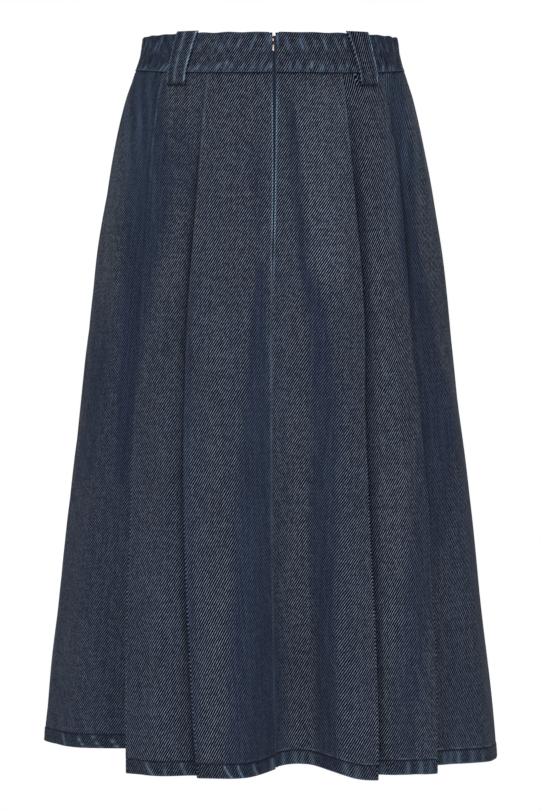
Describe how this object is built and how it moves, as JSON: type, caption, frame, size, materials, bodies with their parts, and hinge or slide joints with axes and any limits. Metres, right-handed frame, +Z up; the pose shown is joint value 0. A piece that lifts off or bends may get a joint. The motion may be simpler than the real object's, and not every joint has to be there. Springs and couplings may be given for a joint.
{
  "type": "pleated denim midi skirt",
  "caption": "Worn, hollow A-line midi skirt in stiff denim: shaped waistband with belt loops, knife pleats, turned-up hem and a concealed zip at the centre back.",
  "frame": {"origin": "middle of the waist opening, halfway up the waistband, where the wearer's waist holds the skirt up", "axes": "+Z up, +Y towards the wearer's front, +X to the wearer's right; the zip is on -Y"},
  "size_m": [0.4875, 0.4215, 0.7768],
  "materials": {
    "denim": "coarse indigo twill with pale weft, faded to light blue on edges and folds",
    "zip_tape": "dark navy woven tape",
    "zip_metal": "plain metal with a soft shine"
  },
  "bodies": {
    "skirt": {"skirt_back_left": "denim", "skirt_back_right": "denim", "skirt_front": "denim", "waistband_back_left": "denim", "waistband_back_right": "denim", "waistband_front": "denim", "belt_loop_back_left": "denim", "belt_loop_back_right": "denim", "belt_loop_front_left": "denim", "belt_loop_front_right": "denim", "zip_tape_left": "zip_tape", "zip_tape_right": "zip_tape", "zip_coil": "zip_tape", "zip_slider": "zip_metal"},
    "pull": {"zip_pull": "zip_metal"}
  },
  "joints": [
    {"name": "pull_swing", "type": "hinge", "parent": "skirt", "child": "pull", "pos_m": [0.0012, -0.1006, 0.01538], "axis": [-1, 0, 0], "range_deg": [0, 160]}
  ]
}
